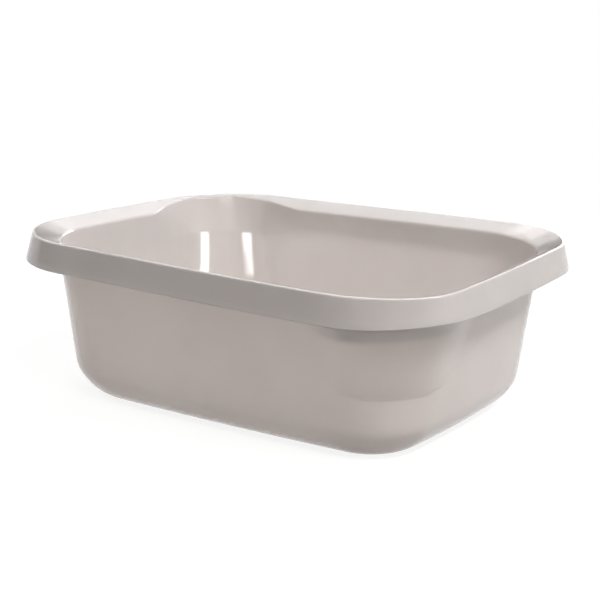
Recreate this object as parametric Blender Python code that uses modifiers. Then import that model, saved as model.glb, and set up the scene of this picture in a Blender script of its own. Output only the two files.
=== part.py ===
import math

import bpy

# A plastic basin, moulded in one piece: metres, +Z up, standing on the ground at the origin,
# with its long sides along X. The upper face is lofted from the skirt's foot over the rim and
# down to the floor, and the wall's thickness is added behind it.

# Plan of the rim, measured over the foot of its skirt
RIM_LENGTH = 0.390
RIM_WIDTH = 0.310
RIM_CORNER_RADIUS = 0.0717
SIDE_BOW = 0.0036
END_BOW = 0.0061

# Rim, in section: the skirt leans in as it rises, the top slopes down into the basin
RIM_HEIGHT = 0.1317
SKIRT_DROP = 0.022
SKIRT_LEAN = math.radians(11)
CREST_RADIUS = 0.002
RIM_SLOPE = math.radians(26)
EDGE_RADIUS = 0.003
RIM_OVERHANG = 0.0218

# The rim waves down from the plain corners to the lips, and its skirt is shorter close to a lip
RIM_WAVE = 0.0035
WAVE_LOW_SHARE = 0.32
LIP_DIP = 0.0008
SKIRT_RISE = 0.0017
DIP_MIDDLE_SHARE = 0.73
DIP_RUN = 0.063

# Wall and floor; the wall's corners tighten more towards the floor below a lip
WALL_THICKNESS = 0.002
WALL_DRAFT = math.radians(6.2)
WALL_TOP_CORNER_RADIUS = 0.0685
WALL_FOOT_CORNER_RADIUS = 0.064
LIP_WALL_TOP_CORNER_RADIUS = 0.084
LIP_WALL_FOOT_CORNER_RADIUS = 0.0416
FLOOR_FILLET = 0.0276
REST_RING_WIDTH = 0.012
PANEL_RISE = 0.0015
PANEL_STEP_RUN = 0.003

# Pouring lip in two opposite corners: above a soft crease the wall leans out as a pocket, and from the
# foot of the flare it leans out more, up to the rim. The drops are measured from the foot of the skirt
# down to the crease and to the flare, and a reach from the corner of the rim's length and width to
# where the lip is half formed. The pocket's sides open quickly, and the rim's partly slowly.
LIP_EDGE_INSET = 0.0095
FLARE_DROP = 0.011
FLARE_RADIUS = 0.030
POCKET_LEAN = math.radians(9.5)
POCKET_DROP = 0.0597
POCKET_FOOT_DEPTH = 0.0006
CREASE_SLOPE = math.radians(68)
CREASE_RADIUS = 0.008
POCKET_SIDE_REACH = 0.064
POCKET_END_REACH = 0.0903
POCKET_QUICK_RUN = 0.018
POCKET_FULL_RUN = 0.051
QUICK_SHARE = 0.53
POCKET_SIDE_ROUNDING = 0.024
POCKET_END_ROUNDING = 0.031

# How finely the shape is cut into faces
PLAIN_CORNER_STEPS = 7
LIP_STEPS = 28
SIDE_STEPS = 2
CREST_STEPS = 4
EDGE_STEPS = 2
FLARE_STEPS = 2
POCKET_STEPS = 6
CREASE_STEPS = 2
FILLET_STEPS = 5
SHARP_ANGLE = math.radians(40)

PLASTIC_COLOUR = (0.56, 0.52, 0.49, 1.0)
PLASTIC_ROUGHNESS = 0.22


def step_from(point, heading, length):
    return (point[0] + length * math.cos(heading), point[1] + length * math.sin(heading))


def meeting_point(point_a, heading_a, point_b, heading_b):
    # Where a line through point_a crosses a line through point_b
    over, up = point_b[0] - point_a[0], point_b[1] - point_a[1]
    across = over * math.sin(heading_b) - up * math.cos(heading_b)
    return step_from(point_a, heading_a, across / math.sin(heading_b - heading_a))


def rounded_corner(corner, heading_in, heading_out, radius, steps):
    # The arc that turns a path from heading_in to heading_out at a corner
    turn = heading_out - heading_in
    tangent = radius * math.tan(abs(turn) / 2)
    start = step_from(corner, heading_in, -tangent)
    side = math.copysign(math.pi / 2, turn)
    centre = step_from(start, heading_in + side, radius)
    return [step_from(centre, heading_in - side + turn * k / steps, radius) for k in range(steps + 1)]


def skirt_foot_height():
    return RIM_HEIGHT - SKIRT_DROP


def pocket_foot_height():
    return skirt_foot_height() - POCKET_DROP


def rim_crest():
    # The foot of the skirt, then the arc over the crest: pairs of inset and height
    foot = (0.0, skirt_foot_height())
    skirt_heading = math.pi / 2 - SKIRT_LEAN
    inward_start = step_from(foot, skirt_heading - math.pi / 2, CREST_RADIUS)
    rise = (RIM_HEIGHT - CREST_RADIUS - inward_start[1]) / math.sin(skirt_heading)
    centre = step_from(inward_start, skirt_heading, rise)
    turn = -RIM_SLOPE - skirt_heading
    first = skirt_heading + math.pi / 2
    arc = [step_from(centre, first + turn * k / CREST_STEPS, CREST_RADIUS) for k in range(CREST_STEPS + 1)]
    return [foot] + arc


def wall_line():
    return (RIM_OVERHANG, skirt_foot_height()), WALL_DRAFT - math.pi / 2


def wall_at(height):
    point, heading = wall_line()
    return meeting_point(point, heading, (0.0, height), 0.0)


def floor_section():
    # The round foot of the wall, the ring that it rests on and the raised panel inside that
    point, heading = wall_line()
    corner = meeting_point(point, heading, (0.0, WALL_THICKNESS), 0.0)
    fillet = rounded_corner(corner, heading, 0.0, FLOOR_FILLET, FILLET_STEPS)
    ring_end = step_from(fillet[-1], 0.0, REST_RING_WIDTH)
    panel_edge = (ring_end[0] + PANEL_STEP_RUN, ring_end[1] + PANEL_RISE)
    return fillet + [ring_end, panel_edge]


def lip_edge_corner():
    return meeting_point(rim_crest()[-1], -RIM_SLOPE, (LIP_EDGE_INSET, 0.0), math.pi / 2)


def pocket_line():
    foot_height = pocket_foot_height()
    return (wall_at(foot_height)[0] - POCKET_FOOT_DEPTH, foot_height), POCKET_LEAN - math.pi / 2


def flare_foot():
    # Where the leaning pocket turns into the flare
    crease, heading = pocket_line()
    return meeting_point(crease, heading, (0.0, skirt_foot_height() - FLARE_DROP), 0.0)


def lip_section():
    # Section through a pouring lip: crest, inner edge, flare, leaning pocket and the crease back to the wall
    crest = rim_crest()
    edge_corner = lip_edge_corner()
    flare_corner = flare_foot()
    flare_heading = math.atan2(flare_corner[1] - edge_corner[1], flare_corner[0] - edge_corner[0])
    edge = rounded_corner(edge_corner, -RIM_SLOPE, flare_heading, EDGE_RADIUS, EDGE_STEPS)
    crease_start, pocket_heading = pocket_line()
    flare = rounded_corner(flare_corner, flare_heading, pocket_heading, FLARE_RADIUS, FLARE_STEPS)
    wall_point, wall_heading = wall_line()
    crease_end = meeting_point(crease_start, -CREASE_SLOPE, wall_point, wall_heading)
    upper = rounded_corner(crease_start, pocket_heading, -CREASE_SLOPE, CREASE_RADIUS, CREASE_STEPS)
    lower = rounded_corner(crease_end, -CREASE_SLOPE, wall_heading, CREASE_RADIUS, CREASE_STEPS)
    pocket_height = flare[-1][1] - upper[0][1]
    pocket = []
    for k in range(POCKET_STEPS - 1, 0, -1):
        height = upper[0][1] + pocket_height * (k / POCKET_STEPS) ** 2
        pocket.append(meeting_point(crease_start, pocket_heading, (0.0, height), 0.0))
    return crest + edge + flare + pocket + upper + lower + floor_section()


def plain_section():
    # Section through a side, with a point for each point of the lip's section
    crest = rim_crest()
    wall_point, wall_heading = wall_line()
    corner = meeting_point(crest[-1], -RIM_SLOPE, wall_point, wall_heading)
    edge = rounded_corner(corner, -RIM_SLOPE, wall_heading, EDGE_RADIUS, EDGE_STEPS)
    rim = crest + edge
    floor = floor_section()
    lip = lip_section()
    kept_height = lip[len(rim) + FLARE_STEPS][1]
    squeeze = (rim[-1][1] - kept_height) / (lip[len(rim) - 1][1] - kept_height)
    wall = []
    for inset, height in lip[len(rim):len(lip) - len(floor)]:
        above = max(0.0, height - kept_height)
        wall.append(wall_at(height + above * (squeeze - 1)))
    return rim + wall + floor


def even_steps(first, last, steps):
    return [first + (last - first) * k / steps for k in range(steps)]


def side_run():
    return RIM_LENGTH - 2 * RIM_CORNER_RADIUS


def end_run():
    return RIM_WIDTH - 2 * RIM_CORNER_RADIUS


def corner_run():
    return RIM_CORNER_RADIUS * math.pi / 2


def lip_runs():
    # Where along the rim the two sides of the lip are half formed
    return RIM_CORNER_RADIUS - POCKET_SIDE_REACH, corner_run() + POCKET_END_REACH - RIM_CORNER_RADIUS


def place_at(run):
    # Near the lip corner, a place by its distance from where that corner begins to turn
    if run < 0:
        return "side", -1 - 2 * run / side_run()
    if run <= corner_run():
        return "lip corner", run / corner_run()
    return "far end", 1 - 2 * (run - corner_run()) / end_run()


def half_places():
    # Places round half of the rim's plan, from an end over a plain corner to a lip corner: (kind, share).
    # On a straight run the share goes from -1 to 1, on a corner it is the share of its turn.
    side_start, end_start = lip_runs()
    first_run = side_start - POCKET_QUICK_RUN / 2
    last_run = end_start + POCKET_QUICK_RUN / 2
    places = [("end", share) for share in even_steps(-place_at(last_run)[1], 1, SIDE_STEPS)]
    places += [("plain corner", share) for share in even_steps(0, 1, PLAIN_CORNER_STEPS)]
    places += [("side", share) for share in even_steps(1, place_at(first_run)[1], SIDE_STEPS)]
    places += [place_at(run) for run in even_steps(first_run, last_run, LIP_STEPS)]
    return places


def run_along_rim(place):
    # Distance along half of the rim, counted from where the lip corner begins to turn
    kind, share = place
    if kind == "side":
        return -(share + 1) / 2 * side_run()
    if kind == "lip corner":
        return share * corner_run()
    if kind == "far end":
        return corner_run() + (1 - share) / 2 * end_run()
    if kind == "end":
        return corner_run() + (1 + share) / 2 * end_run()
    return corner_run() + end_run() + share * corner_run()


def plan_point(place, half_length, half_width, plain_radius, lip_radius):
    # A place on a rounded rectangle whose sides bow out a little
    kind, share = place
    plain_x, plain_y = half_length - plain_radius, half_width - plain_radius
    lip_x, lip_y = half_length - lip_radius, half_width - lip_radius
    along_share = (share + 1) / 2
    if kind == "end":
        x, y = half_length, -lip_y + (plain_y + lip_y) * along_share
    elif kind == "side":
        x, y = -lip_x + (plain_x + lip_x) * along_share, half_width
    elif kind == "far end":
        x, y = -half_length, -plain_y + (plain_y + lip_y) * along_share
    elif kind == "plain corner":
        x, y = step_from((plain_x, plain_y), share * math.pi / 2, plain_radius)
    else:
        x, y = step_from((-lip_x, lip_y), (share + 1) * math.pi / 2, lip_radius)
    bowed_x = x - END_BOW * (x / half_length) * (y / half_width) ** 2
    bowed_y = y - SIDE_BOW * (y / half_width) * (x / half_length) ** 2
    return bowed_x, bowed_y


def clamped(share):
    return max(0.0, min(1.0, share))


def smooth_share(value):
    share = clamped(value)
    return share * share * (3 - 2 * share)


def rounding(height, radius):
    # How far a side of the pocket draws in near its foot
    lift = min(radius, max(0.0, pocket_foot_height() + radius - height))
    return radius - math.sqrt(radius ** 2 - lift ** 2)


def opening_share(run, height):
    # 0 before the lip, then all of the pocket's depth in the quick run; at the rim only part of it, and
    # the rest slowly
    start = -POCKET_QUICK_RUN / 2
    quick_share = smooth_share((run - start) / POCKET_QUICK_RUN)
    slow_share = smooth_share((run - start) / POCKET_FULL_RUN)
    flare_height = flare_foot()[1]
    up_share = clamped((height - flare_height) / (lip_edge_corner()[1] - flare_height))
    quick_part = 1 + (QUICK_SHARE - 1) * up_share
    return quick_part * quick_share + (1 - quick_part) * slow_share


def lip_share(place, height):
    # 0 on a plain side, 1 in the middle of the lip
    run = run_along_rim(place)
    side_start, end_start = lip_runs()
    from_side = run - side_start - rounding(height, POCKET_SIDE_ROUNDING)
    from_end = end_start - rounding(height, POCKET_END_ROUNDING) - run
    return opening_share(from_side, height) * opening_share(from_end, height)


def rim_drop(place, height):
    # How far the rim lies below its full height; the wall follows it down to the pocket's foot
    half_round = side_run() + end_run() + 2 * corner_run()
    run = run_along_rim(place)
    wave_angle = 2 * math.pi * (run - WAVE_LOW_SHARE * corner_run()) / half_round
    wave = RIM_WAVE * (1 + math.cos(wave_angle)) / 2
    dip_share = smooth_share(1 - abs(run - DIP_MIDDLE_SHARE * corner_run()) / DIP_RUN)
    up_share = clamped((height - skirt_foot_height()) / SKIRT_DROP)
    wall_share = clamped((height - pocket_foot_height()) / POCKET_DROP)
    dip = LIP_DIP * up_share - SKIRT_RISE * (1 - up_share)
    return (wave + dip * dip_share) * wall_share


def corner_radius(inset, height, top_radius, foot_radius):
    # The rim's corners follow its skirt, the wall's corners tighten towards the floor
    wall_top = skirt_foot_height()
    down_share = clamped((wall_top - height) / wall_top)
    wall_radius = top_radius + (foot_radius - top_radius) * down_share
    radius = RIM_CORNER_RADIUS + (wall_radius - RIM_CORNER_RADIUS) * clamped(inset / RIM_OVERHANG)
    return radius - max(0.0, inset - wall_at(WALL_THICKNESS)[0])


def lip_corner_radius(inset, height):
    # Below the pocket as the wall; up the pocket the corner turns into one that follows the rim's
    below_lip = (LIP_WALL_TOP_CORNER_RADIUS, LIP_WALL_FOOT_CORNER_RADIUS)
    foot_height = pocket_foot_height()
    if height <= foot_height:
        return corner_radius(inset, height, *below_lip)
    foot_radius = corner_radius(wall_at(foot_height)[0], foot_height, *below_lip)
    rise_share = clamped((height - foot_height) / (RIM_HEIGHT - foot_height))
    rim_radius = RIM_CORNER_RADIUS - inset
    return max(rim_radius, foot_radius + (rim_radius - foot_radius) * rise_share)


def section_place(place, inset, height, lip_radius):
    plain_radius = corner_radius(inset, height, WALL_TOP_CORNER_RADIUS, WALL_FOOT_CORNER_RADIUS)
    return plan_point(place, RIM_LENGTH / 2 - inset, RIM_WIDTH / 2 - inset, plain_radius, lip_radius)


def ring_point(place, plain, lip):
    # Between the plain section's point and the lip section's point
    plain_inset, plain_height = plain
    lip_inset, lip_height = lip
    below_lip = (LIP_WALL_TOP_CORNER_RADIUS, LIP_WALL_FOOT_CORNER_RADIUS)
    plain_radius = corner_radius(plain_inset, plain_height, *below_lip)
    lip_radius = lip_corner_radius(lip_inset, lip_height)
    plain_x, plain_y = section_place(place, plain_inset, plain_height, plain_radius)
    lip_x, lip_y = section_place(place, lip_inset, lip_height, lip_radius)
    share = lip_share(place, lip_height)
    height = plain_height + (lip_height - plain_height) * share
    x = plain_x + (lip_x - plain_x) * share
    y = plain_y + (lip_y - plain_y) * share
    return x, y, height - rim_drop(place, height)


def basin_points():
    # One ring of points for each station of the section; the second half is the first turned half round
    half = half_places()
    rings = []
    for plain, lip in zip(plain_section(), lip_section()):
        points = [ring_point(place, plain, lip) for place in half]
        rings.append(points + [(-x, -y, z) for x, y, z in points])
    return rings


def basin_mesh():
    rings = basin_points()
    count = len(rings[0])
    vertices = [point for ring in rings for point in ring]
    faces = []
    for row in range(len(rings) - 1):
        upper, lower = row * count, (row + 1) * count
        for k in range(count):
            along = (k + 1) % count
            faces.append((upper + k, upper + along, lower + along, lower + k))
    last = (len(rings) - 1) * count
    faces.append(tuple(range(last, last + count)))
    mesh = bpy.data.meshes.new("basin")
    mesh.from_pydata(vertices, [], faces)
    mesh.validate()
    mesh.shade_smooth()
    mesh.set_sharp_from_angle(angle=SHARP_ANGLE)
    return mesh


def basin_plastic():
    material = bpy.data.materials.new("basin plastic")
    material.use_nodes = True
    shader = material.node_tree.nodes["Principled BSDF"]
    shader.inputs["Base Color"].default_value = PLASTIC_COLOUR
    shader.inputs["Roughness"].default_value = PLASTIC_ROUGHNESS
    shader.inputs["Metallic"].default_value = 0.0
    material.diffuse_color = PLASTIC_COLOUR
    return material


def make_basin(collection):
    basin = bpy.data.objects.new("basin", basin_mesh())
    collection.objects.link(basin)
    basin.data.materials.append(basin_plastic())
    wall = basin.modifiers.new("wall", "SOLIDIFY")
    wall.thickness = WALL_THICKNESS
    wall.offset = -1.0
    wall.use_even_offset = True
    wall.use_quality_normals = True
    return basin


for old in list(bpy.data.objects):
    bpy.data.objects.remove(old, do_unlink=True)
basin_collection = bpy.data.collections.new("plastic basin")
bpy.context.scene.collection.children.link(basin_collection)
make_basin(basin_collection)
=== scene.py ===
import math

import bmesh
import bpy
from mathutils import Matrix, Quaternion, Vector


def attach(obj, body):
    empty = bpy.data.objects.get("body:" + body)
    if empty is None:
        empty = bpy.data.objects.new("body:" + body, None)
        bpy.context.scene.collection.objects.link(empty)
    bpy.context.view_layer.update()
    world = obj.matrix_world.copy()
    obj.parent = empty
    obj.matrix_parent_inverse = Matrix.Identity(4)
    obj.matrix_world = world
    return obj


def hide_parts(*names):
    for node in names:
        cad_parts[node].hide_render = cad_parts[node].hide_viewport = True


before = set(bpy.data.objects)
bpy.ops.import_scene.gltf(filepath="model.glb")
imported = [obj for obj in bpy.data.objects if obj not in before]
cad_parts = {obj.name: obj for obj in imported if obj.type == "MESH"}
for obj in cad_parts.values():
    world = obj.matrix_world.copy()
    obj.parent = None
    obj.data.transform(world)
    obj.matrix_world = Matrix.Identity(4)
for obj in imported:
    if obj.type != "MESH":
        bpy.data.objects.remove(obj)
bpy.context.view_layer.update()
scene = bpy.context.scene


def hexColour(text):
    # sRGB hex to the linear colour that the shaders take
    values = [int(text[k:k + 2], 16) / 255 for k in (1, 3, 5)]
    return [v / 12.92 if v <= 0.04045 else ((v + 0.055) / 1.055) ** 2.4 for v in values] + [1.0]


def addNode(tree, kind, inputs=(), **settings):
    # One node: its settings, then its input values or the sockets that feed them
    node = tree.nodes.new(kind)
    for name, value in settings.items():
        setattr(node, name, value)
    for key, value in dict(inputs).items():
        if isinstance(value, bpy.types.NodeSocket):
            tree.links.new(value, node.inputs[key])
        else:
            node.inputs[key].default_value = value
    return node


# Sizes in metres. The section is a list of (inset from the skirt's foot, height)
basin = {
    "length": 0.3898, "width": 0.3098, "cornerRadius": 0.0717, "sideBow": 0.0036, "endBow": 0.0061,
    "rimHeight": 0.1316, "skirtDrop": 0.0219, "skirtLean": math.radians(11), "crestRadius": 0.0012,
    "hold": 0.0004, "rimSlope": math.radians(26), "edgeRadius": 0.003, "overhang": 0.0218,
    "rimWave": 0.0035, "waveLow": 0.32, "lipDip": 0.0008, "skirtRise": 0.0017, "dipMiddle": 0.73,
    "dipRun": 0.063, "wall": 0.0019, "draft": math.radians(6.2),
    # a corner's radius at the wall's top and at its foot, and the least one in the floor
    "plainCorner": (0.0685, 0.064), "lipCorner": (0.084, 0.0416), "leastCorner": 0.006,
    "floorHeight": 0.002, "floorFillet": 0.0276, "ringWidth": 0.012,
    "panelRise": 0.0015, "panelStep": 0.003, "panelRadius": 0.003, "panelEdge": 0.004,
    "lipEdgeInset": 0.0095, "flareFoot": 0.0987, "flareRadius": 0.030,
    "pocketLean": math.radians(9.5), "pocketFoot": 0.050, "pocketDepth": 0.0006,
    "creaseSlope": math.radians(68), "creaseRadius": 0.008,
    # from this far below the flare up, the plastic passes less light: painted shade for the dark band
    # under the skirt at the lips
    "thickStart": 0.006, "thickRun": 0.004,
    # how far a pocket reaches along the side and the end, and how it opens there
    "sideReach": 0.064, "endReach": 0.0903, "quickRun": 0.018, "fullRun": 0.051, "quickShare": 0.53,
    "sideRounding": 0.024, "endRounding": 0.031,
    "columns": 320, "joinDistance": 1e-6,
}

# Steps in each stretch of the section
stretches = {
    "skirtFoot": 6, "skirt": 5, "crest": 8, "rimTop": 3, "edge": 6, "flare": 5, "pocket": 14, "crease": 4,
    "wallFoot": 4, "fillet": 14, "panel": 3,
}


def stepFrom(point, heading, length):
    return (point[0] + length * math.cos(heading), point[1] + length * math.sin(heading))


def meetingPoint(a, headingA, b, headingB):
    across = (b[0] - a[0]) * math.sin(headingB) - (b[1] - a[1]) * math.cos(headingB)
    return stepFrom(a, headingA, across / math.sin(headingB - headingA))


def roundedCorner(corner, headingIn, headingOut, radius, steps):
    turn = headingOut - headingIn
    side = math.copysign(math.pi / 2, turn)
    start = stepFrom(corner, headingIn, -radius * math.tan(abs(turn) / 2))
    centre = stepFrom(start, headingIn + side, radius)
    return [stepFrom(centre, headingIn - side + turn * k / steps, radius) for k in range(steps + 1)]


def betweenPoints(a, b, steps):
    return [(a[0] + (b[0] - a[0]) * k / steps, a[1] + (b[1] - a[1]) * k / steps) for k in range(1, steps)]


wallTop = basin["rimHeight"] - basin["skirtDrop"]
wallHeading = basin["draft"] - math.pi / 2


def wallAt(height):
    return meetingPoint((basin["overhang"], wallTop), wallHeading, (0.0, height), 0.0)


def crestPoints():
    # The skirt from just above its foot, then the arc over the crest
    skirtHeading = math.pi / 2 - basin["skirtLean"]
    foot = stepFrom((0.0, wallTop), skirtHeading, basin["wall"] / 2)
    inward = stepFrom(foot, skirtHeading - math.pi / 2, basin["crestRadius"])
    rise = (basin["rimHeight"] - basin["crestRadius"] - inward[1]) / math.sin(skirtHeading)
    centre = stepFrom(inward, skirtHeading, rise)
    start, turn, steps = skirtHeading + math.pi / 2, -basin["rimSlope"] - skirtHeading, stretches["crest"]
    arc = [stepFrom(centre, start + turn * k / steps, basin["crestRadius"]) for k in range(steps + 1)]
    # a point close on each side of the arc keeps the skirt and the rim's top flat up to it
    below = stepFrom(arc[0], skirtHeading, -basin["hold"])
    beyond = stepFrom(arc[-1], -basin["rimSlope"], basin["hold"])
    return [foot] + betweenPoints(foot, below, stretches["skirt"]) + [below] + arc + [beyond]


def floorPoints():
    # The fillet, the ring that the basin rests on and the raised panel's edge
    fillet = roundedCorner(wallAt(basin["floorHeight"]), wallHeading, 0.0, basin["floorFillet"],
                           stretches["fillet"])
    ringEnd = stepFrom(fillet[-1], 0.0, basin["ringWidth"])
    rise = math.atan2(basin["panelRise"], basin["panelStep"])
    top = (ringEnd[0] + basin["panelStep"], ringEnd[1] + basin["panelRise"])
    up = roundedCorner(ringEnd, 0.0, rise, basin["panelRadius"], stretches["panel"])
    level = roundedCorner(top, rise, 0.0, basin["panelRadius"], stretches["panel"])
    return fillet + up + level + [stepFrom(top, 0.0, basin["panelEdge"])]


def lipEdgeCorner():
    return meetingPoint(crestPoints()[-1], -basin["rimSlope"], (basin["lipEdgeInset"], 0.0), math.pi / 2)


def lipPoints():
    # Crest, lip's edge, flare, leaning pocket and the soft crease back to the wall
    crest, edgeCorner = crestPoints(), lipEdgeCorner()
    pocketHeading = basin["pocketLean"] - math.pi / 2
    crease = (wallAt(basin["pocketFoot"])[0] - basin["pocketDepth"], basin["pocketFoot"])
    flareCorner = meetingPoint(crease, pocketHeading, (0.0, basin["flareFoot"]), 0.0)
    flareHeading = math.atan2(flareCorner[1] - edgeCorner[1], flareCorner[0] - edgeCorner[0])
    edge = roundedCorner(edgeCorner, -basin["rimSlope"], flareHeading, basin["edgeRadius"],
                         stretches["edge"])
    flare = roundedCorner(flareCorner, flareHeading, pocketHeading, basin["flareRadius"],
                          stretches["flare"])
    creaseEnd = meetingPoint(crease, -basin["creaseSlope"], wallAt(wallTop), wallHeading)
    upper = roundedCorner(crease, pocketHeading, -basin["creaseSlope"], basin["creaseRadius"],
                          stretches["crease"])
    lower = roundedCorner(creaseEnd, -basin["creaseSlope"], wallHeading, basin["creaseRadius"],
                          stretches["crease"])
    rimTop = betweenPoints(crest[-1], edge[0], stretches["rimTop"])
    pocket = betweenPoints(flare[-1], upper[0], stretches["pocket"])
    below = betweenPoints(lower[-1], floorPoints()[0], stretches["wallFoot"])
    return crest + rimTop + edge + flare + pocket + upper + lower + below + floorPoints()


def plainPoints():
    # A point for each point of the lip's section
    crest = crestPoints()
    corner = meetingPoint(crest[-1], -basin["rimSlope"], wallAt(wallTop), wallHeading)
    edge = roundedCorner(corner, -basin["rimSlope"], wallHeading, basin["edgeRadius"], stretches["edge"])
    rim = crest + betweenPoints(crest[-1], edge[0], stretches["rimTop"]) + edge
    lip = lipPoints()
    flareFoot = lip[len(rim) + stretches["flare"]][1]
    squeeze = (rim[-1][1] - flareFoot) / (lip[len(rim) - 1][1] - flareFoot)
    wall = []
    for inset, height in lip[len(rim):len(lip) - len(floorPoints())]:
        above = max(0.0, height - flareFoot)
        wall.append(wallAt(height + above * (squeeze - 1)))
    return rim + wall + floorPoints()


def closedSection(face):
    # The wall's other face lies one thickness behind, and the skirt's foot is rounded between them
    back = []
    for k, point in enumerate(face):
        before, after = face[max(0, k - 1)], face[min(len(face) - 1, k + 1)]
        run, rise = after[0] - before[0], after[1] - before[1]
        size = math.hypot(run, rise)
        back.append((point[0] + rise / size * basin["wall"], point[1] - run / size * basin["wall"]))
    centre = ((face[0][0] + back[0][0]) / 2, (face[0][1] + back[0][1]) / 2)
    start = math.atan2(back[0][1] - centre[1], back[0][0] - centre[0])
    steps = stretches["skirtFoot"]
    foot = [stepFrom(centre, start - math.pi * k / steps, basin["wall"] / 2) for k in range(1, steps)]
    return back[::-1] + foot + face


def cornerRadius(inset, height, top, foot):
    downShare = min(1.0, max(0.0, (wallTop - height) / wallTop))
    wallRadius = top + (foot - top) * downShare
    radius = basin["cornerRadius"]
    radius += (wallRadius - radius) * min(1.0, max(0.0, inset / basin["overhang"]))
    # the panel's corners stay round, however far in they lie
    return max(basin["leastCorner"], radius - max(0.0, inset - wallAt(basin["floorHeight"])[0]))


def pocketRadius(inset, height):
    # The pocket's corner is as round as the wall's at its foot and follows the rim's at its edge
    footInset = wallAt(basin["pocketFoot"])[0]
    footRadius = cornerRadius(footInset, basin["pocketFoot"], *basin["lipCorner"])
    rise = (height - basin["pocketFoot"]) / (basin["rimHeight"] - basin["pocketFoot"])
    share = min(1.0, max(0.0, rise))
    return footRadius + (basin["cornerRadius"] - inset - footRadius) * share


def sectionObject(name, points, isLip):
    # A helper line whose points carry the section, the two corner radii and the painted shade under the
    # lips' flare
    mesh = bpy.data.meshes.new(name)
    mesh.from_pydata([(inset, height, 0.0) for inset, height in points], [], [])
    plain = mesh.attributes.new("plainRadius", "FLOAT", "POINT")
    lip = mesh.attributes.new("lipRadius", "FLOAT", "POINT")
    shadeShare = mesh.attributes.new("thickWall", "FLOAT", "POINT")
    for k, (inset, height) in enumerate(points):
        plain.data[k].value = cornerRadius(inset, height, *basin["plainCorner"])
        radius = cornerRadius(inset, height, *basin["lipCorner"])
        if isLip and height > basin["pocketFoot"]:
            radius = max(basin["cornerRadius"] - inset, pocketRadius(inset, height))
        lip.data[k].value = radius
        # painted shade: from just under the lips' flare up to their edge the wall passes less light
        if isLip and inset > basin["lipEdgeInset"]:
            rise = (height - basin["flareFoot"] + basin["thickStart"]) / basin["thickRun"]
            shadeShare.data[k].value = min(1.0, max(0.0, rise))
    helper = bpy.data.objects.new(name, mesh)
    scene.collection.objects.link(helper)
    return helper


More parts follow.
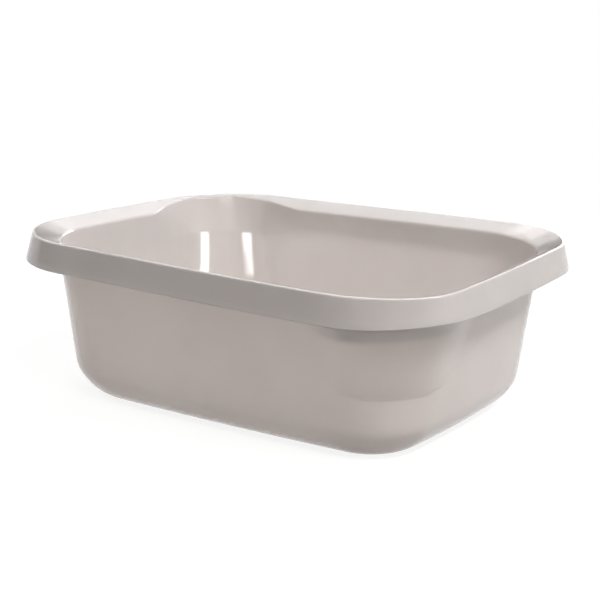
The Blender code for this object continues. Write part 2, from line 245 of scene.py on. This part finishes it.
def loftTree():
    # Every station of both sections goes round the rim's plan; near a lip one section turns into the other
    tree = bpy.data.node_groups.new("basinLoft", "GeometryNodeTree")
    tree.interface.new_socket("Geometry", in_out="OUTPUT", socket_type="NodeSocketGeometry")
    sizes = ["Length", "Width", "Corner radius", "Side bow", "End bow", "Rim height", "Skirt drop",
             "Rim wave", "Wave low", "Lip dip", "Skirt rise", "Dip middle", "Dip run", "Pocket foot",
             "Side reach", "End reach", "Quick run", "Full run", "Quick share", "Flare foot", "Flare top",
             "Side rounding", "End rounding"]
    kinds = {name: "NodeSocketFloat" for name in sizes}
    kinds.update({"Columns": "NodeSocketInt", "Stations": "NodeSocketInt",
                  "Plain section": "NodeSocketObject", "Lip section": "NodeSocketObject",
                  "Plastic": "NodeSocketMaterial"})
    for name, kind in kinds.items():
        tree.interface.new_socket(name, in_out="INPUT", socket_type=kind)
    given = addNode(tree, "NodeGroupInput").outputs
    made = {name: given[name] for name in kinds}
    made["index"] = addNode(tree, "GeometryNodeInputIndex").outputs[0]

    def addRows(rows):
        # Each row is a result, an operation or a range, and its values or the names of earlier results
        for name, work, *values in rows:
            sockets = {k: made.get(v, v) if isinstance(v, str) else v for k, v in enumerate(values)}
            if work in ("LINEAR", "SMOOTHSTEP"):
                node = addNode(tree, "ShaderNodeMapRange", sockets, interpolation_type=work)
            else:
                node = addNode(tree, "ShaderNodeMath", sockets, operation=work)
            made[name] = node.outputs[0]

    addRows([
        # how far round half of the rim a point lies, and whether it is in the half that is turned about +Z
        ("sideRun", "MULTIPLY_ADD", "Corner radius", -2.0, "Length"),
        ("endRun", "MULTIPLY_ADD", "Corner radius", -2.0, "Width"),
        ("turnRun", "MULTIPLY", "Corner radius", math.pi / 2),
        ("straightRuns", "ADD", "sideRun", "endRun"),
        ("halfRound", "MULTIPLY_ADD", "turnRun", 2.0, "straightRuns"),
        ("columnShare", "DIVIDE", "index", "Stations"),
        ("column", "FLOOR", "columnShare"),
        ("station", "MODULO", "index", "Stations"),
        ("columnStep", "DIVIDE", "halfRound", "Columns"),
        ("doubled", "MULTIPLY", "column", 2.0),
        ("along", "MULTIPLY", "doubled", "columnStep"),
        ("halfTurns", "DIVIDE", "along", "halfRound"),
        ("wholeTurns", "FLOOR", "halfTurns"),
        ("passed", "MULTIPLY", "wholeTurns", "halfRound"),
        ("run", "SUBTRACT", "along", "passed"),
        ("oddTurn", "MODULO", "wholeTurns", 2.0),
        ("side", "MULTIPLY_ADD", "oddTurn", -2.0, 1.0),
        # the share of each straight run and the angle of each corner
        ("lipEnd", "ADD", "sideRun", "turnRun"),
        ("endEnd", "ADD", "lipEnd", "endRun"),
        ("sideShare", "LINEAR", "run", 0.0, "sideRun", 0.0, 1.0),
        ("lipTurn", "LINEAR", "run", "sideRun", "lipEnd", 0.0, math.pi / 2),
        ("endShare", "LINEAR", "run", "lipEnd", "endEnd", 0.0, 1.0),
        ("plainTurn", "LINEAR", "run", "endEnd", "halfRound", 0.0, math.pi / 2),
        ("fromLip", "SUBTRACT", "run", "sideRun"),
    ])
    position = addNode(tree, "GeometryNodeInputPosition").outputs[0]
    stored = {"Plain section": ("plainRadius", "lipRadius"), "Lip section": ("lipRadius", "thickWall")}
    for section, names in stored.items():
        shape = addNode(tree, "GeometryNodeObjectInfo", {"Object": made[section]}).outputs["Geometry"]
        values = {"Geometry": shape, "Index": made["station"]}
        place = addNode(tree, "GeometryNodeSampleIndex", {**values, "Value": position},
                        data_type="FLOAT_VECTOR")
        parts = addNode(tree, "ShaderNodeSeparateXYZ", {0: place.outputs[0]}).outputs
        made[section + " inset"], made[section + " height"] = parts[0], parts[1]
        for name in names:
            kept = addNode(tree, "GeometryNodeInputNamedAttribute", {"Name": name}, data_type="FLOAT")
            sample = addNode(tree, "GeometryNodeSampleIndex", {**values, "Value": kept.outputs[0]},
                             data_type="FLOAT")
            made[section + " " + name] = sample.outputs[0]
    addRows([
        ("sideStart", "SUBTRACT", "Corner radius", "Side reach"),
        ("endReachPast", "SUBTRACT", "End reach", "Corner radius"),
        ("endStart", "ADD", "endReachPast", "turnRun"),
        ("past Side", "SUBTRACT", "fromLip", "sideStart"),
        ("past End", "SUBTRACT", "endStart", "fromLip"),
        ("halfQuick", "MULTIPLY", "Quick run", 0.5),
        ("quickStart", "MULTIPLY", "Quick run", -0.5),
        ("slowEnd", "ADD", "Full run", "quickStart"),
        # the pocket opens quickly, the flare above it as slowly as the rim
        ("quickPart", "LINEAR", "Lip section height", "Flare foot", "Flare top", 1.0, "Quick share"),
    ])
    for end in ("Side", "End"):
        addRows([
            # the pocket's side draws in near its foot, so its corners are round there
            ("roundingTop", "ADD", "Pocket foot", end + " rounding"),
            ("lift", "LINEAR", "Lip section height", "Pocket foot", "roundingTop", 1.0, 0.0),
            ("liftSquare", "MULTIPLY", "lift", "lift"),
            ("rest", "SUBTRACT", 1.0, "liftSquare"),
            ("arc", "SQRT", "rest"),
            ("arcRun", "MULTIPLY", "arc", end + " rounding"),
            ("drawnIn", "SUBTRACT", end + " rounding", "arcRun"),
            ("past", "SUBTRACT", "past " + end, "drawnIn"),
            ("quick", "SMOOTHSTEP", "past", "quickStart", "halfQuick", 0.0, 1.0),
            ("slow", "SMOOTHSTEP", "past", "quickStart", "slowEnd", 0.0, 1.0),
            ("ahead", "SUBTRACT", "quick", "slow"),
            ("opened " + end, "MULTIPLY_ADD", "ahead", "quickPart", "slow"),
        ])
    addRows([
        ("share", "MULTIPLY", "opened Side", "opened End"),
        # painted shade under the lips' flare, only where a pocket is open
        ("thickWall", "MULTIPLY", "share", "Lip section thickWall"),
    ])
    for value in ("inset", "height", "lipRadius"):
        addRows([
            ("gap", "SUBTRACT", "Lip section " + value, "Plain section " + value),
            (value, "MULTIPLY_ADD", "gap", "share", "Plain section " + value),
        ])
    addRows([
        # the rim waves down to the lips, and its skirt is shorter there
        ("lowRun", "MULTIPLY", "Wave low", "turnRun"),
        ("fromLow", "SUBTRACT", "fromLip", "lowRun"),
        ("phaseShare", "DIVIDE", "fromLow", "halfRound"),
        ("phase", "MULTIPLY", "phaseShare", 2 * math.pi),
        ("cosine", "COSINE", "phase"),
        ("waveShare", "MULTIPLY_ADD", "cosine", 0.5, 0.5),
        ("wave", "MULTIPLY", "waveShare", "Rim wave"),
        ("dipAt", "MULTIPLY", "Dip middle", "turnRun"),
        ("dipOffset", "SUBTRACT", "fromLip", "dipAt"),
        ("fromDip", "ABSOLUTE", "dipOffset"),
        ("dipShare", "SMOOTHSTEP", "fromDip", 0.0, "Dip run", 1.0, 0.0),
        ("skirtFoot", "SUBTRACT", "Rim height", "Skirt drop"),
        ("footDip", "MULTIPLY", "Skirt rise", -1.0),
        ("dipDepth", "LINEAR", "height", "skirtFoot", "Rim height", "footDip", "Lip dip"),
        ("followShare", "LINEAR", "height", "Pocket foot", "skirtFoot", 0.0, 1.0),
        ("fullDrop", "MULTIPLY_ADD", "dipDepth", "dipShare", "wave"),
        ("drop", "MULTIPLY", "fullDrop", "followShare"),
        ("z", "SUBTRACT", "height", "drop"),
        # the place on the rounded rectangle
        ("outset", "MULTIPLY", "inset", -1.0),
        ("halfLength", "MULTIPLY_ADD", "Length", 0.5, "outset"),
        ("halfWidth", "MULTIPLY_ADD", "Width", 0.5, "outset"),
        ("radii", "ADD", "Plain section plainRadius", "lipRadius"),
        ("lessRadii", "MULTIPLY", "radii", -1.0),
        ("sideSpan", "MULTIPLY_ADD", "halfLength", 2.0, "lessRadii"),
        ("endSpan", "MULTIPLY_ADD", "halfWidth", 2.0, "lessRadii"),
        ("lipSine", "SINE", "lipTurn"),
        ("lipCosine", "COSINE", "lipTurn"),
        ("plainSine", "SINE", "plainTurn"),
        ("plainCosine", "COSINE", "plainTurn"),
        ("backAlong", "MULTIPLY", "sideSpan", "sideShare"),
        ("backLip", "MULTIPLY_ADD", "lipRadius", "lipSine", "backAlong"),
        ("backAll", "MULTIPLY_ADD", "Plain section plainRadius", "plainCosine", "backLip"),
        ("x", "SUBTRACT", "halfLength", "backAll"),
        ("downAlong", "MULTIPLY", "endSpan", "endShare"),
        ("downPlain", "MULTIPLY_ADD", "Plain section plainRadius", "plainSine", "downAlong"),
        ("downAll", "ADD", "lipRadius", "downPlain"),
        ("upLip", "MULTIPLY", "lipRadius", "lipCosine"),
        ("yFromSide", "SUBTRACT", "upLip", "downAll"),
        ("y", "ADD", "halfWidth", "yFromSide"),
        # long sides and ends bow out a little
        ("xShare", "DIVIDE", "x", "halfLength"),
        ("yShare", "DIVIDE", "y", "halfWidth"),
        ("xSquare", "MULTIPLY", "xShare", "xShare"),
        ("ySquare", "MULTIPLY", "yShare", "yShare"),
        ("endLoss", "MULTIPLY", "xShare", "ySquare"),
        ("sideLoss", "MULTIPLY", "yShare", "xSquare"),
        ("endPull", "MULTIPLY", "endLoss", "End bow"),
        ("sidePull", "MULTIPLY", "sideLoss", "Side bow"),
        ("bowedX", "SUBTRACT", "x", "endPull"),
        ("bowedY", "SUBTRACT", "y", "sidePull"),
        ("placedX", "MULTIPLY", "bowedX", "side"),
        ("placedY", "MULTIPLY", "bowedY", "side"),
    ])
    closing = addNode(tree, "ShaderNodeMath", {0: made["Columns"], 1: 1.0}, operation="ADD").outputs[0]
    sheet = addNode(tree, "GeometryNodeMeshGrid", {
        "Vertices X": closing, "Vertices Y": made["Stations"]}).outputs[0]
    point = addNode(tree, "ShaderNodeCombineXYZ", {
        0: made["placedX"], 1: made["placedY"], 2: made["z"]}).outputs[0]
    formed = addNode(tree, "GeometryNodeSetPosition", {"Geometry": sheet, "Position": point}).outputs[0]
    # the painted shade under the lips' flare goes on to the material as an attribute
    marked = addNode(tree, "GeometryNodeStoreNamedAttribute", {
        "Geometry": formed, "Name": "thickWall", "Value": made["thickWall"]}).outputs[0]
    joined = addNode(tree, "GeometryNodeMergeByDistance", {
        "Geometry": marked, "Distance": basin["joinDistance"]}).outputs[0]
    smooth = addNode(tree, "GeometryNodeSetShadeSmooth", {
        "Geometry": joined, "Shade Smooth": True}).outputs[0]
    real = addNode(tree, "GeometryNodeRealizeInstances", {"Geometry": smooth}).outputs[0]
    dressed = addNode(tree, "GeometryNodeSetMaterial", {
        "Geometry": real, "Material": made["Plastic"]}).outputs[0]
    addNode(tree, "NodeGroupOutput", {0: dressed})
    return tree


def mouldedPolypropylene():
    # Polypropylene, injection moulded against polished steel: an even warm grey with sharp, slightly
    # wavy highlights, faint flow clouds in the tint and hair-fine rub marks that soften the gloss
    look = {
        "grey": "#cec6c2", "cloud": "#c5bdb9",
        "cloudScale": 16.0, "cloudRange": (0.35, 0.75), "cloudMost": 0.6,
        "waveScale": 80.0, "waveStrength": 0.05, "waveDepth": 0.002,
        "grainScale": 620.0, "grainStrength": 0.03, "grainDepth": 0.0004,
        "rubScale": (30.0, 30.0, 700.0), "rubRange": (0.4, 0.8), "roughness": 0.09,
        "rubbedRoughness": 0.16, "ior": 1.49, "translucence": 0.95, "thickTranslucence": 0.1,
        "reach": 0.0085, "reachOfColours": (1.0, 0.96, 0.92),
    }
    material = bpy.data.materials.new("basin moulded polypropylene")
    material.use_nodes = True
    tree = material.node_tree
    tree.nodes.clear()
    place = addNode(tree, "ShaderNodeTexCoord").outputs["Object"]
    # flow clouds 60 mm across in the tint
    cloud = addNode(tree, "ShaderNodeTexNoise", {
        "Vector": place, "Scale": look["cloudScale"], "Detail": 3.0, "Roughness": 0.5})
    cloudShare = addNode(tree, "ShaderNodeMapRange", {
        "Value": cloud.outputs[0], "From Min": look["cloudRange"][0], "From Max": look["cloudRange"][1],
        "To Min": 0.0, "To Max": look["cloudMost"]})
    tint = addNode(tree, "ShaderNodeMix", {
        0: cloudShare.outputs[0], 6: hexColour(look["grey"]), 7: hexColour(look["cloud"])},
        data_type="RGBA")
    # waves of the cooled skin, 12 mm long, and a grain of 0.8 mm drawn twice as coarse so that it shows
    wave = addNode(tree, "ShaderNodeTexNoise", {
        "Vector": place, "Scale": look["waveScale"], "Detail": 1.0})
    grain = addNode(tree, "ShaderNodeTexNoise", {
        "Vector": place, "Scale": look["grainScale"], "Detail": 2.0})
    waveBump = addNode(tree, "ShaderNodeBump", {
        "Height": wave.outputs[0], "Strength": look["waveStrength"], "Distance": look["waveDepth"]})
    grainBump = addNode(tree, "ShaderNodeBump", {
        "Height": grain.outputs[0], "Strength": look["grainStrength"], "Distance": look["grainDepth"],
        "Normal": waveBump.outputs[0]})
    # rub marks lie round the walls, 33 mm long and 1.4 mm apart
    rubPlace = addNode(tree, "ShaderNodeMapping", {"Vector": place, "Scale": look["rubScale"]})
    rub = addNode(tree, "ShaderNodeTexNoise", {"Vector": rubPlace.outputs[0], "Scale": 1.0, "Detail": 3.0})
    rubbed = addNode(tree, "ShaderNodeMapRange", {
        "Value": rub.outputs[0], "From Min": look["rubRange"][0], "From Max": look["rubRange"][1],
        "To Min": look["roughness"], "To Max": look["rubbedRoughness"]})
    # the thin wall lets light through, and less of it from under the lips' flare up: painted shade that
    # darkens the band under the skirt there
    shadeShare = addNode(tree, "ShaderNodeAttribute", attribute_name="thickWall").outputs["Fac"]
    passed = addNode(tree, "ShaderNodeMapRange", {
        "Value": shadeShare, "To Min": look["translucence"], "To Max": look["thickTranslucence"]})
    shader = addNode(tree, "ShaderNodeBsdfPrincipled", {
        "Base Color": tint.outputs[2], "Roughness": rubbed.outputs[0], "IOR": look["ior"], "Metallic": 0.0,
        "Subsurface Weight": passed.outputs[0], "Subsurface Radius": look["reachOfColours"],
        "Subsurface Scale": look["reach"], "Normal": grainBump.outputs[0]})
    addNode(tree, "ShaderNodeOutputMaterial", {"Surface": shader.outputs[0]})
    material.diffuse_color = hexColour(look["grey"])
    return material


def closeFloor(mesh):
    # Both faces of the floor are still open inside the panel's edge
    shape = bmesh.new()
    shape.from_mesh(mesh)
    bmesh.ops.holes_fill(shape, edges=[e for e in shape.edges if e.is_boundary], sides=0)
    bmesh.ops.recalc_face_normals(shape, faces=shape.faces)
    for face in shape.faces:
        face.smooth = True
    shape.to_mesh(mesh)
    openEdges = sum(1 for e in shape.edges if not e.is_manifold)
    volume = shape.calc_volume(signed=True)
    shape.free()
    print("basin closed: open edges", openEdges, "volume in litres", round(volume * 1000, 4))


def makeBasin():
    plain, lip = closedSection(plainPoints()), closedSection(lipPoints())
    helpers = [sectionObject("plainSection", plain, False), sectionObject("lipSection", lip, True)]
    tree = loftTree()
    plastic = mouldedPolypropylene()
    host = bpy.data.objects.new("basinLoft", bpy.data.meshes.new("basinLoft"))
    scene.collection.objects.link(host)
    loft = host.modifiers.new("basin loft", "NODES")
    loft.node_group = tree
    # an input such as "Rim height" takes the size rimHeight
    sizes = {**basin, "flareTop": lipEdgeCorner()[1], "stations": len(plain), "plainSection": helpers[0],
             "lipSection": helpers[1], "plastic": plastic}
    for socket in tree.interface.items_tree:
        if socket.in_out == "INPUT":
            name = socket.name[0].lower() + socket.name.title().replace(" ", "")[1:]
            loft[socket.identifier] = sizes[name]
    bpy.context.view_layer.update()
    depsgraph = bpy.context.evaluated_depsgraph_get()
    mesh = bpy.data.meshes.new_from_object(host.evaluated_get(depsgraph))
    mesh.name = "basin_shell"
    for helper in helpers + [host]:
        bpy.data.objects.remove(helper, do_unlink=True)
    closeFloor(mesh)
    piece = bpy.data.objects.new("basin_shell", mesh)
    scene.collection.objects.link(piece)
    print("basin made:", len(mesh.polygons), "faces,", len(plain), "stations")
    return piece


shell = makeBasin()
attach(shell, "root")
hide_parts("basin")

studio = {
    "floorColour": "#8a8886", "floorSize": 40.0, "nearFloor": 0.35, "farFloor": 1.1, "nearGlow": 0.86,
    "aim": (0.0, 0.0, 0.07), "distance": 2.0, "roomStrength": 0.03, "dimRoom": 0.1, "dimEdge": 0.25,
}

# Each soft box by its direction in degrees round from the front and up, its size in metres and its power
softBoxes = {
    "keyBox": {"azimuth": 100, "elevation": 52, "size": (0.8, 0.5), "power": 22},
    "rightStrip": {"azimuth": 94, "elevation": 15, "size": (0.52, 0.18), "power": 6, "roll": -8},
    "cornerBox": {"azimuth": 52, "elevation": 47, "size": (0.7, 0.45), "power": 12.5},
    "frontStrip": {"azimuth": 17.5, "elevation": 18, "size": (0.52, 0.18), "power": 5.5},
    "edgeBox": {"azimuth": -2, "elevation": 42, "size": (0.4, 0.3), "power": 2.5},
    "leftBox": {"azimuth": -75, "elevation": 32, "size": (1.1, 0.8), "power": 7},
    "backBox": {"azimuth": 180, "elevation": 15, "size": (1.1, 0.8), "power": 19, "tint": "#f3f4ff"},
    "rimEndBox": {"azimuth": -160, "elevation": 37, "size": (0.8, 0.6), "power": 2.6},
    "rimBox": {"azimuth": -127, "elevation": 51, "size": (1.2, 0.9), "power": 6},
}

# A black card behind the basin that only reflections meet, for the dark patches at the ends of the rim
darkCard = {"azimuth": -150, "elevation": 9.5, "size": (1.15, 0.66), "colour": "#0c0c0c"}


def makeFloor():
    bpy.ops.mesh.primitive_plane_add(size=studio["floorSize"], location=(0.0, 0.0, 0.0))
    floor = bpy.context.object
    floor.name = "studio_floor"
    material = bpy.data.materials.new("studio floor matt paint")
    material.use_nodes = True
    tree = material.node_tree
    tree.nodes.clear()
    # The camera and reflections see the open floor as white: a little glow near the object, where the
    # paint keeps its shadow, and all of it further out
    paths = addNode(tree, "ShaderNodeLightPath").outputs
    place = addNode(tree, "ShaderNodeTexCoord").outputs["Object"]
    outward = addNode(tree, "ShaderNodeVectorMath", {0: place}, operation="LENGTH").outputs["Value"]
    far = addNode(tree, "ShaderNodeMapRange", {
        "Value": outward, "From Min": studio["nearFloor"], "From Max": studio["farFloor"]},
        interpolation_type="SMOOTHSTEP").outputs[0]
    seen = addNode(tree, "ShaderNodeMath", {0: paths["Is Camera Ray"], 1: paths["Is Glossy Ray"]},
                   operation="MAXIMUM").outputs[0]
    shown = addNode(tree, "ShaderNodeMath", {0: seen, 1: paths["Is Transmission Ray"]},
                    operation="MAXIMUM").outputs[0]
    farShown = addNode(tree, "ShaderNodeMath", {0: far, 1: shown}, operation="MULTIPLY").outputs[0]
    nearGlow = addNode(tree, "ShaderNodeMath", {0: shown, 1: studio["nearGlow"]},
                       operation="MULTIPLY").outputs[0]
    paint = addNode(tree, "ShaderNodeBsdfDiffuse", {"Color": hexColour(studio["floorColour"])}).outputs[0]
    glow = addNode(tree, "ShaderNodeEmission", {"Strength": nearGlow}).outputs[0]
    white = addNode(tree, "ShaderNodeEmission", {"Strength": 1.0}).outputs[0]
    near = addNode(tree, "ShaderNodeAddShader", {0: paint, 1: glow}).outputs[0]
    both = addNode(tree, "ShaderNodeMixShader", {0: farShown, 1: near, 2: white}).outputs[0]
    addNode(tree, "ShaderNodeOutputMaterial", {"Surface": both})
    floor.data.materials.append(material)


def makeWorld():
    world = bpy.data.worlds.new("studio room")
    scene.world = world
    world.use_nodes = True
    tree = world.node_tree
    tree.nodes.clear()
    # White for the camera; reflections meet the white backdrop behind the basin and the dim room before it
    paths = addNode(tree, "ShaderNodeLightPath").outputs
    heading = addNode(tree, "ShaderNodeTexCoord").outputs["Generated"]
    depth = addNode(tree, "ShaderNodeSeparateXYZ", {0: heading}).outputs["Y"]
    behind = addNode(tree, "ShaderNodeMapRange", {
        "Value": depth, "From Min": -studio["dimEdge"], "From Max": studio["dimEdge"],
        "To Min": studio["dimRoom"]}, interpolation_type="SMOOTHSTEP").outputs[0]
    seen = addNode(tree, "ShaderNodeMath", {0: paths["Is Camera Ray"], 1: paths["Is Transmission Ray"]},
                   operation="MAXIMUM").outputs[0]
    mirrored = addNode(tree, "ShaderNodeMath", {0: paths["Is Glossy Ray"], 1: behind},
                       operation="MULTIPLY").outputs[0]
    shown = addNode(tree, "ShaderNodeMath", {0: seen, 1: mirrored}, operation="MAXIMUM").outputs[0]
    strength = addNode(tree, "ShaderNodeMath", {0: shown, 1: studio["roomStrength"]},
                       operation="MAXIMUM").outputs[0]
    glow = addNode(tree, "ShaderNodeBackground", {"Color": (1.0, 1.0, 1.0, 1.0), "Strength": strength})
    addNode(tree, "ShaderNodeOutputWorld", {"Surface": glow.outputs[0]})


def outwardFrom(place):
    # The direction from the basin to a place round it
    azimuth, elevation = math.radians(place["azimuth"]), math.radians(place["elevation"])
    return Vector((math.sin(azimuth) * math.cos(elevation), -math.cos(azimuth) * math.cos(elevation),
                   math.sin(elevation)))


def standAt(place):
    # Faces the basin from a direction
    outward = outwardFrom(place)
    roll = Quaternion((0.0, 0.0, 1.0), math.radians(place.get("roll", 0.0)))
    stand = ((-outward).to_track_quat("-Z", "Y") @ roll).to_matrix().to_4x4()
    stand.translation = Vector(studio["aim"]) + outward * studio["distance"]
    return stand


def makeDarkCard():
    bpy.ops.mesh.primitive_plane_add(size=1.0)
    card = bpy.context.object
    card.name = "studio_dark_card"
    wide, high = darkCard["size"]
    card.matrix_world = standAt(darkCard) @ Matrix.Diagonal((wide, high, 1.0, 1.0))
    material = bpy.data.materials.new("black velvet card")
    material.use_nodes = True
    tree = material.node_tree
    tree.nodes.clear()
    velvet = addNode(tree, "ShaderNodeBsdfDiffuse", {"Color": hexColour(darkCard["colour"])}).outputs[0]
    addNode(tree, "ShaderNodeOutputMaterial", {"Surface": velvet})
    card.data.materials.append(material)
    for ray in ("camera", "diffuse", "transmission", "shadow", "volume_scatter"):
        setattr(card, "visible_" + ray, False)


def makeSoftBoxes():
    for name, box in softBoxes.items():
        lamp = bpy.data.lights.new(name, "AREA")
        lamp.shape = "RECTANGLE"
        lamp.size, lamp.size_y = box["size"]
        lamp.energy = box["power"]
        lamp.color = hexColour(box.get("tint", "#ffffff"))[:3]
        stand = bpy.data.objects.new(name, lamp)
        stand.matrix_world = standAt(box)
        scene.collection.objects.link(stand)


def makeCamera():
    # Fitted to the photograph: azimuth from the front towards the right, elevation and roll in degrees
    view = {"azimuth": 32.998, "elevation": 13.909, "roll": 1.082, "distance": 1.154, "across": 0.00254,
            "up": 0.00621, "sensor": 36.0, "lens": 85.88}
    roll = math.radians(view["roll"])
    back = outwardFrom(view)
    right = (-back).cross(Vector((0.0, 0.0, 1.0))).normalized()
    up = right.cross(-back)
    rolledRight = right * math.cos(roll) + up * math.sin(roll)
    rolledUp = up * math.cos(roll) - right * math.sin(roll)
    data = bpy.data.cameras.new("photoCamera")
    data.sensor_width, data.lens = view["sensor"], view["lens"]
    camera = bpy.data.objects.new("photoCamera", data)
    turn = Matrix((rolledRight, rolledUp, back)).transposed().to_4x4()
    turn.translation = (Vector(studio["aim"]) + rolledRight * view["across"] + rolledUp * view["up"]
                        + back * view["distance"])
    camera.matrix_world = turn
    scene.collection.objects.link(camera)
    scene.camera = camera


makeFloor()
makeWorld()
makeSoftBoxes()
makeDarkCard()
makeCamera()
scene.view_settings.view_transform = "Standard"
print("studio ready")
